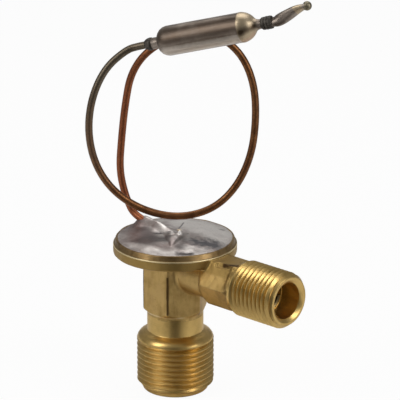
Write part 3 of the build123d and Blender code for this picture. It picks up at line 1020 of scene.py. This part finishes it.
@dataclass
class SolderedCover:
    """The head's top, flooded with solder that buries the end of the tube."""

    outer_r: float = 16.3
    base_z: float = 44.3
    edge_z: float = 45.5
    crown: float = 1.3
    crown_power: float = 2.4
    fade: float = 9.0
    edge_ripple: float = 0.25
    ripples: Sequence[Spot] = ((0.11, 3.6, 2.0), (0.025, 1.3, 5.0), (0.01, 0.6, 9.0))
    rings: int = 90
    segments: int = 200
    swells: Sequence[Swell] = (
        Swell(-12.8, 0.0, 2.8, 3.0, 0, 1.75),     # mound round the tube
        Swell(-7.9, 0.2, 5.8, 1.7, -5, 1.9),      # ridge over the tube
        Swell(-8.0, -4.6, 3.8, 2.6, 30, 0.45),
        Swell(-3.6, -3.3, 1.7, 1.2, 20, -0.4),    # hollow beside the ridge
        Swell(-7.0, 3.0, 4.0, 0.5, -23, -0.15),   # crease behind the ridge
        Swell(-3.2, 6.0, 2.8, 0.45, -60, -0.15),
        Swell(1.6, -3.0, 0.75, 0.65, 0, 0.7),     # two beads
        Swell(3.1, -1.3, 0.7, 0.6, 0, 1.0),
        Swell(-0.5, 2.2, 0.8, 0.6, 0, -0.4),
        Swell(10.0, 1.2, 4.5, 1.8, 15, -0.2),
        Swell(0.5, -12.3, 6.0, 1.4, 8, 0.2),
        Swell(11.8, -8.8, 2.6, 1.2, 50, -0.25),
    )
    wedge: Outline = ((-2.6, -2.6), (3.4, 2.4), (6.8, -8.8))
    wedge_height: float = 1.0
    wedge_power: float = 0.5

    def wedge_at(self, x: float, y: float) -> float:
        """Measure the three-sided lump beside the beads.

        Args:
            x: place along X.
            y: place along Y.

        Returns:
            Its height there.
        """
        share = 27.0    # makes the middle of the wedge 1
        for index, (x0, y0) in enumerate(self.wedge):
            (x1, y1), (x2, y2) = self.wedge[(index + 1) % 3], self.wedge[(index + 2) % 3]
            whole = (x1 - x0) * (y2 - y0) - (x2 - x0) * (y1 - y0)
            share *= max(0.0, ((x1 - x) * (y2 - y) - (x2 - x) * (y1 - y)) / whole)
        return self.wedge_height * share ** self.wedge_power

    def height(self, x: float, y: float) -> float:
        """Measure the solder's top.

        Args:
            x: place along X.
            y: place along Y.

        Returns:
            Its height there.
        """
        share = math.hypot(x, y) / self.outer_r
        dome = self.crown * (1 - share ** self.crown_power)
        held = min(1.0, (1.0 - share) * self.fade)
        forms = sum(swell.at(x, y) for swell in self.swells) + self.wedge_at(x, y)
        spot = Vector((x, y, 0)) * MM
        ripple = sum(depth * lump(spot, size, seed) for depth, size, seed in self.ripples)
        return self.edge_z + dome + (forms + ripple) * held + self.edge_ripple * ripple

    def build(self, material: Material) -> Object:
        """Spin a flat pad and raise its top to the set solder's surface.

        Args:
            material: its finish.

        Returns:
            The object.
        """
        flat = [(self.outer_r * i / self.rings, self.edge_z) for i in range(self.rings + 1)]
        outline = flat + [(self.outer_r, self.base_z), (0.0, self.base_z)]
        shell = spun(outline, self.segments, closed=False)
        middle = (self.edge_z + self.base_z) / 2 * MM
        for vertex in shell.verts:
            if vertex.co.z > middle:
                vertex.co.z = self.height(vertex.co.x / MM, vertex.co.y / MM) * MM
        bmesh.ops.recalc_face_normals(shell, faces=shell.faces)
        return piece("soldered_cover", shell, material, "cover_solder", sharp=70)


# ---- tubes ----
@dataclass
class FormedTube:
    """A tube bent along a smooth line, with a section that may flatten and twist."""

    name: str
    slot: str
    node: str
    route: Sequence[Spot]
    diameter: float
    flatten: float = 1.0
    twist: float = 0.0
    swell: Callable[[float], float] = lambda share: 1.0
    resolution: int = 14
    oval_points: int = 8
    oval_reach: float = 1.12

    def oval(self) -> Object:
        """Make the flattened section that sweeps the tube.

        Returns:
            The section, outside the scene.
        """
        curve = bpy.data.curves.new(self.name + "_section", "CURVE")
        curve.dimensions = "2D"
        ring = curve.splines.new("NURBS")
        ring.points.add(self.oval_points - 1)
        ring.use_cyclic_u, ring.order_u = True, 4
        half = self.diameter / 2 * MM * self.oval_reach
        for index, point in enumerate(ring.points):
            angle = FULL_TURN * index / self.oval_points
            point.co = (half / self.flatten * math.cos(angle), half * self.flatten * math.sin(angle), 0, 1)
        return bpy.data.objects.new(self.name + "_section", curve)

    def build(self, material: Material) -> Object:
        """Make the tube's mesh from a curve.

        Args:
            material: its finish.

        Returns:
            The object.
        """
        curve = bpy.data.curves.new(self.name, "CURVE")
        curve.dimensions, curve.resolution_u, curve.use_fill_caps = "3D", self.resolution, True
        curve.bevel_mode, curve.bevel_depth, curve.bevel_resolution = "ROUND", self.diameter / 2 * MM, 8
        curve.twist_mode = "MINIMUM"
        spline = curve.splines.new("NURBS")
        last = len(self.route) - 1
        spline.points.add(last)
        for index, (point, place) in enumerate(zip(spline.points, self.route)):
            point.co = (*(value * MM for value in place), 1.0)
            point.radius = self.swell(index / last)
            point.tilt = math.radians(self.twist) * index / last
        spline.order_u, spline.use_endpoint_u = 3, True
        if self.flatten != 1.0:
            curve.bevel_mode, curve.bevel_object = "OBJECT", self.oval()
        carrier = show(self.name + "_line", curve)
        ready = carrier.evaluated_get(bpy.context.evaluated_depsgraph_get())
        shell = merged_copy(bpy.data.meshes.new_from_object(ready))
        bpy.data.objects.remove(carrier)
        bmesh.ops.recalc_face_normals(shell, faces=shell.faces)
        made = piece(self.name, shell, material, self.node, sharp=60)
        last = len(made.data.vertices) - 1
        mark_along(made, (index / last for index in range(last + 1)))
        return made


@dataclass
class SensingBulb:
    """The bulb with its spun shoulder, neck, crimped collar and braze."""

    shell_outline: Outline = (
        (0.0, -5.3), (1.5, -5.3), (1.65, -5.1), (1.62, -3.6), (1.75, -2.95), (2.25, -2.72), (2.95, -2.35),
        (3.6, -1.7), (4.02, -0.85), (4.2, 0.0), (4.2, 5.0), (4.19, 11.0), (4.2, 17.0), (4.19, 21.6),
        (4.24, 22.0), (4.24, 22.5), (4.12, 23.1), (3.82, 24.0), (3.3, 24.9), (2.75, 25.5), (2.2, 25.95),
        (1.75, 26.4), (1.5, 26.9), (1.38, 27.6), (1.35, 29.3), (0.0, 29.3))
    braze_outline: Outline = (
        (1.02, -7.15), (1.25, -7.05), (1.55, -6.6), (1.78, -6.0), (1.86, -5.5), (1.82, -5.1), (1.66, -4.95),
        (1.02, -4.95))
    collar_outline: Outline = (
        (1.35, 28.2), (1.55, 28.22), (1.78, 28.55), (1.82, 29.1), (1.78, 29.22), (1.6, 29.3), (1.6, 29.4),
        (1.84, 29.52), (1.88, 29.8), (1.84, 30.08), (1.62, 30.18), (1.62, 30.3), (1.84, 30.4), (1.86, 30.7),
        (1.8, 31.2), (1.6, 31.4), (1.02, 31.4), (1.02, 29.4), (1.35, 29.3))
    true_r: float = 1.2

    def lathe(self, name: str, outline: Outline, segments: int, node: str,
              material: Material, waver: float) -> Object:
        """Spin one of its pieces along the bulb's axis, slightly out of true.

        Args:
            name: the piece's name.
            outline: (radius, distance along the bulb).
            segments: steps round.
            node: the CAD node that it stands for.
            material: its finish.
            waver: depth of its unevenness in millimetres.

        Returns:
            The object.
        """
        shell = spun(outline, segments)
        steps = [v.co.z for v in shell.verts]
        low, high = min(steps), max(steps)
        for vertex in shell.verts:
            radius = math.hypot(vertex.co.x, vertex.co.y)
            if radius > self.true_r * MM:
                vertex.co.xy *= 1 + waver * MM * lump(vertex.co, size=2.2, seed=1) / radius
        inverse = BULB_AXES.inverted()
        shell.transform(BULB_AXES)
        made = piece(name, shell, material, node, sharp=45)
        mark_along(made, [((inverse @ vertex.co).z - low) / (high - low) for vertex in made.data.vertices])
        return made

    def build(self, copper: Material, black: Material) -> list[Object]:
        """Make the shell, the braze at its neck and the crimped collar.

        Args:
            copper: the shell's finish.
            black: the finish of the other two.

        Returns:
            The three objects.
        """
        return [
            self.lathe("bulb_case", self.shell_outline, 96, "bulb_shell", copper, 0.03),
            self.lathe("neck_braze", self.braze_outline, 48, "bulb_neck_braze", black, 0.12),
            self.lathe("crimped_collar", self.collar_outline, 64, "fill_collar", black, 0.05),
        ]


# ---- studio ----
@dataclass(frozen=True)
class Lamp:
    """A soft lamp: its place to the camera's right, up and towards it, its width, height and watts."""

    name: str
    place: Spot
    width: float
    height: float
    watts: float


@dataclass
class Studio:
    """Camera, lamps, floor and world."""

    azimuth: float = 43.1
    elevation: float = 18.8
    distance: float = 900.0
    pixels_per_mm: float = 3.47
    picture: float = 400.0
    sensor: float = 36.0
    off_right: float = 7.06
    off_up: float = 53.5
    middle: Spot = (0.0, 0.0, 55.0)
    lamps: tuple[Lamp, ...] = (Lamp("key_lamp", (-420, 260, 330), 240, 420, 1.05),
                               Lamp("fill_lamp", (390, 160, 320), 160, 420, 0.8),
                               Lamp("top_lamp", (0, 520, -60), 420, 420, 1.0))
    ambient: float = 0.22
    room: float = 0.05
    room_edge: Span = (0.78, 0.97)
    backdrop_edge: Span = (0.86, 0.95)
    floor_half: float = 4000.0
    floor_z: float = -0.2
    floor_tone: Colour = (0.86, 0.86, 0.86)
    floor_seen: float = 0.95
    dim_tone: Colour = (0.13, 0.12, 0.11)
    dim_from: Span = (15.0, 60.0)
    dim_edge: Span = (30.0, 0.0)
    dim_spread: float = 0.3

    def level(self) -> tuple[Vector, Vector]:
        """Level directions to the camera's right and towards the camera."""
        a = math.radians(self.azimuth)
        return Vector((math.cos(a), math.sin(a), 0)), Vector((math.sin(a), -math.cos(a), 0))

    def directions(self) -> tuple[Vector, Vector, Vector]:
        """Work out where the camera looks.

        Returns:
            Its right, up and backward directions.
        """
        e, upright = math.radians(self.elevation), Vector((0, 0, 1))
        right, ahead = self.level()
        return right, upright * math.cos(e) - ahead * math.sin(e), ahead * math.cos(e) + upright * math.sin(e)

    def camera(self) -> None:
        """Place the camera."""
        right, up, back = self.directions()
        data = bpy.data.cameras.new("camera")
        data.sensor_width = self.sensor
        data.lens = self.pixels_per_mm * self.distance * self.sensor / self.picture
        data.clip_start, data.clip_end = 0.01, 20.0
        made = show("camera", data)
        place = right * self.off_right + up * self.off_up + back * self.distance
        made.matrix_world = Matrix.Translation(place * MM) @ Matrix((right, up, back)).transposed().to_4x4()
        bpy.context.scene.camera = made

    def light(self, lamp: Lamp) -> None:
        """Add a lamp, aimed at the middle of the valve.

        Args:
            lamp: the lamp.
        """
        data = bpy.data.lights.new(lamp.name, "AREA")
        data.shape, data.size, data.size_y = "RECTANGLE", lamp.width * MM, lamp.height * MM
        data.energy = lamp.watts
        offset = sum((way * reach for way, reach in zip(self.directions(), lamp.place)), Vector())
        made = show(lamp.name, data)
        made.location = (Vector(self.middle) + offset) * MM
        made.rotation_euler = (-offset).to_track_quat("-Z", "Y").to_euler()

    def world(self) -> None:
        """Light all round, dimmer from the camera's side, and a white backdrop that metal shows too."""
        world = bpy.data.worlds.new("studio")
        bpy.context.scene.world = world
        nodes = Nodes(world)
        way = nodes.node("ShaderNodeTexCoord", output="Generated")
        behind = nodes.vector("DOT_PRODUCT", way, tuple(-self.directions()[2]), output="Value")
        before = nodes.vector("DOT_PRODUCT", way, tuple(self.level()[1]), output="Value")
        glossy = nodes.node("ShaderNodeLightPath", output="Is Glossy Ray")
        seen = nodes.node("ShaderNodeLightPath", output="Is Camera Ray")
        strength = self.ambient + (self.room - self.ambient) * before.ramp(*self.room_edge)
        light = nodes.node("ShaderNodeBackground", inputs={"Color": WHITE, "Strength": strength})
        white = nodes.node("ShaderNodeBackground", inputs={"Color": WHITE, "Strength": 1.0})
        cover = (behind.ramp(*self.backdrop_edge) * glossy).largest(seen)
        mixed = nodes.node("ShaderNodeMixShader", inputs={0: cover, 1: light, 2: white})
        nodes.plug(nodes.tree.nodes.new("ShaderNodeOutputWorld").inputs["Surface"], mixed)

    def floor(self) -> None:
        """Add the pale floor, white to the camera save for the shadow, and dim in front of the valve."""
        shell = bmesh.new()
        bmesh.ops.create_grid(shell, x_segments=1, y_segments=1, size=self.floor_half * MM)
        made = show("studio_floor", as_mesh("studio_floor", shell))
        made.location.z = self.floor_z * MM
        bench = Bench("studio_floor")
        right, ahead = (bench.vector("DOT_PRODUCT", bench.place(), tuple(way), output="Value")
                        for way in self.level())
        aside = right.largest(0.0 - right) - ahead * self.dim_spread
        dim = ahead.over(self.dim_from) * aside.over(self.dim_edge)
        bench.finish(Base_Color=bench.blend(dim, self.floor_tone, self.dim_tone), Roughness=0.8)
        light = bench.node("ShaderNodeEmission", inputs={"Color": WHITE, "Strength": 1.0})
        seen = bench.node("ShaderNodeLightPath", output="Is Camera Ray") * self.floor_seen
        lit = Wire(bench, bench.shader.outputs[0])
        mixed = bench.node("ShaderNodeMixShader", inputs={0: seen, 1: lit, 2: light})
        bench.plug(bench.output.inputs["Surface"], mixed)
        made.data.materials.append(bench.material)

    def build(self) -> None:
        """Set up the whole studio."""
        bpy.context.scene.view_settings.view_transform = "Standard"
        self.camera()
        self.world()
        self.floor()
        for lamp in self.lamps:
            self.light(lamp)


@dataclass
class CarriedSolids:
    """CAD solids that keep their shape and get a finish."""

    names: Sequence[str]

    def dress(self, material: Material) -> None:
        """Give each solid the finish.

        Args:
            material: the finish.
        """
        for name in self.names:
            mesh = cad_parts[name].data
            mesh.materials.clear()
            mesh.materials.append(material)
            LOG.info("%s: %s", name, material.name)


@dataclass
class SuperheatSpring:
    """The spring, on a mesh of its own."""

    base: float = 5.8
    length: float = 15.9
    stroke: float = 0.6

    def build(self, material: Material) -> Object:
        """Copy the spring's mesh into a piece of its own.

        Args:
            material: its finish.

        Returns:
            The object.
        """
        shell = merged_copy(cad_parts["superheat_spring"].data)
        made = piece("spring_coil", shell, material, "superheat_spring", sharp=50)
        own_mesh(made)
        return made


TUBE_ROUTE = (
    (-7.0, 0.0, 47.0), (-15.6, 0.0, 47.4), (-18.6, -1.0, 53.5), (-20.0, -2.0, 61.5), (-19.5, -1.5, 71.0),
    (-18.5, -1.0, 81.0), (-16.5, -0.5, 91.0), (-11.5, 2.0, 98.5), (-4.0, 7.5, 103.0),
    (4.0, 13.5, 103.0), (9.5, 17.5, 97.5), (12.5, 19.5, 88.5), (13.5, 19.0, 78.0),
    (13.0, 17.5, 68.0), (10.5, 14.0, 59.0), (6.5, 8.5, 53.0), (0.5, 1.0, 51.0),
    (-6.0, -6.5, 53.5), (-11.5, -12.5, 59.0), (-15.0, -16.5, 67.0), (-16.0, -18.5, 77.0),
    (-15.5, -17.5, 87.0), (-13.5, -14.0, 95.5), (-10.0, -9.0, 100.5), (-7.36, -6.81, 101.65),
    (-1.68, -4.39, 103.33),
)
FILL_ROUTE = ((25.67, 7.21, 111.46), (29.1, 8.67, 112.48), (30.11, 9.1, 112.78), (32.4, 10.05, 114.4),
              (35.9, 11.6, 117.15), (37.8, 12.4, 117.8))
OUTLET = ThreadedFitting(
    "outlet_fitting", Lie.UP_FROM_OUTLET,
    ((8.3, 0.0), (9.0, 0.0), (9.4, 0.4), (9.4, 1.1), (10.04, 1.6), (10.04, 14.9), (10.97, 15.3),
     (10.75, 16.0), (10.25, 16.7), (9.4, 17.25), (8.5, 17.6), (8.05, 17.9), (8.05, 23.0), (7.8, 23.6),
     (5.4, 23.6), (5.4, 14.7), (8.0, 13.5), (8.0, 2.4), (8.3, 2.4)),
    PipeThread(11.0, lead_from=(1.1, 9.4), lead_to=(2.3, 11.0), fades=14.3, end=15.3))
INLET = ThreadedFitting(
    "inlet_fitting", Lie.IN_FROM_INLET,
    ((6.2, 0.0), (6.9, 0.0), (7.04, 0.15), (7.04, 15.0), (7.0, 16.0), (7.0, 17.2), (4.9, 17.2), (4.9, 7.2),
     (5.15, 7.2), (5.15, 0.8)),
    PipeThread(8.0, lead_from=(0.0, 6.9), lead_to=(1.4, 8.0), fades=14.4, end=15.3))
CARRIED = (
    (PlainMetal("stainless_steel", (0.62, 0.62, 0.61), (0.42, 0.42, 0.42), 0.24),
     ("valve_ball", "damping_clip", "push_rod", "seat_ring", "seal_retainer", "diaphragm", "strainer_clip")),
    (PlainMetal("plated_steel", (0.55, 0.55, 0.54), (0.38, 0.37, 0.36), 0.35), ("head_cover",)),
    (TurnedBrass("turned_brass_upright", "Z"),
     ("pressure_pad", "ball_carrier", "adjusting_nut", "rod_guide")),
    # painted shade: the strainer pieces deep in the inlet bore get brass darkened to the bore's shade
    (PlainMetal("bore_shade_brass", (0.32, 0.195, 0.06), (0.17, 0.10, 0.03), 0.5),
     ("strainer_collar", "strainer_cap", "strainer_mesh")),
    (SealRubber(), ("rod_seal",)),
    (PlainMetal("tip_solder", (0.30, 0.26, 0.18), (0.13, 0.11, 0.075), 0.35, 0.85, 0.06),
     ("fill_tube_bead",)),
)


def main() -> None:
    """Build every sub-assembly and report it."""
    logging.basicConfig(level=logging.INFO, format="%(message)s")
    ready = {}
    for finish, names in CARRIED:
        material = finish.make()
        CarriedSolids(names).dress(material)
        ready[material.name] = material
    bulb = BulbCopper().make()
    black = PlainMetal("black_braze", (0.055, 0.048, 0.04), (0.13, 0.115, 0.095), 0.42, 0.6, 0.06).make()
    Forging().build(ForgedBrass().make())
    FlangeRim().build(RimBrass().make())
    OUTLET.build(ready["turned_brass_upright"])
    INLET.build(TurnedBrass("turned_brass_branch", "X").make())
    SolderedCover().build(SoftSolder().make())
    FormedTube("copper_capillary", "copper", "capillary_tube", TUBE_ROUTE, 2.1).build(DrawnCopper().make())
    SensingBulb().build(bulb, black)
    FormedTube("pinched_fill_tube", "bulb_copper", "fill_tube", FILL_ROUTE, 2.3, flatten=0.78, twist=170,
               swell=lambda share: 0.8 + 0.35 * math.sin(math.pi * share)).build(bulb)
    SuperheatSpring().build(ready["stainless_steel"])
    Studio().build()


if __name__ == "__main__":
    main()
